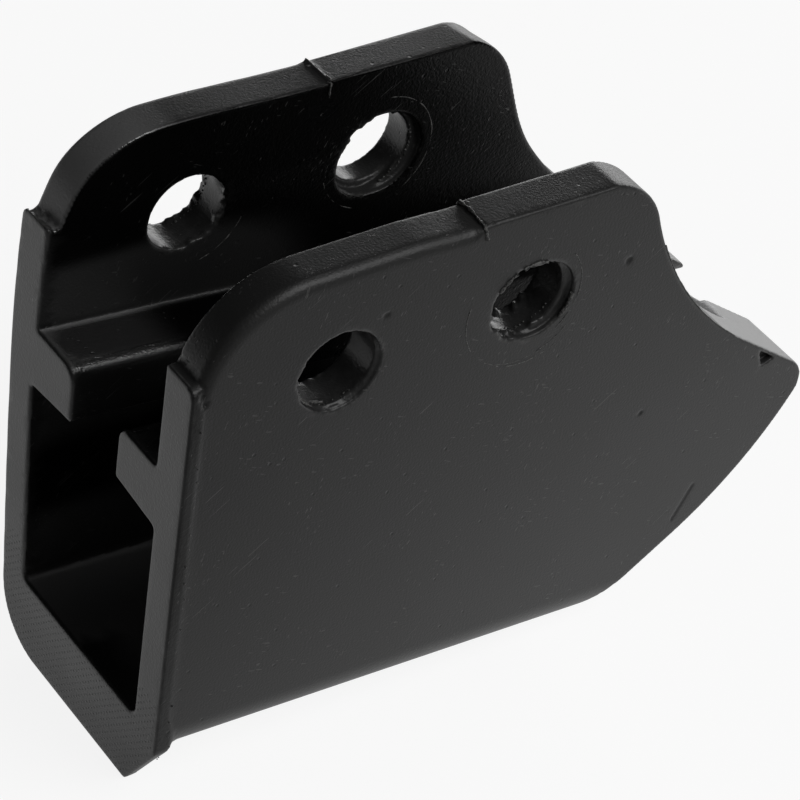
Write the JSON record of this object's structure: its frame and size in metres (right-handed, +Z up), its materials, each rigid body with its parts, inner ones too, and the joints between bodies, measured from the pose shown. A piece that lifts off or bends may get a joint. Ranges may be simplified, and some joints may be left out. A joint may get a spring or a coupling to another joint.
{
  "type": "motorcycle chain guide",
  "caption": "Moulded chain guide block: two bolted side plates over a railed channel that keeps the chain in line.",
  "frame": {"origin": "on the front bolt axis, midway between the two side plates", "axes": "+X back towards the tail, +Y along the bolts to the right plate, +Z up towards the open top between the plates"},
  "size_m": [0.0895, 0.0352, 0.0716],
  "materials": {
    "black_plastic": "satin black moulded plastic, lightly scuffed"
  },
  "bodies": {
    "root": {"guide_block": "black_plastic"}
  },
  "joints": []
}
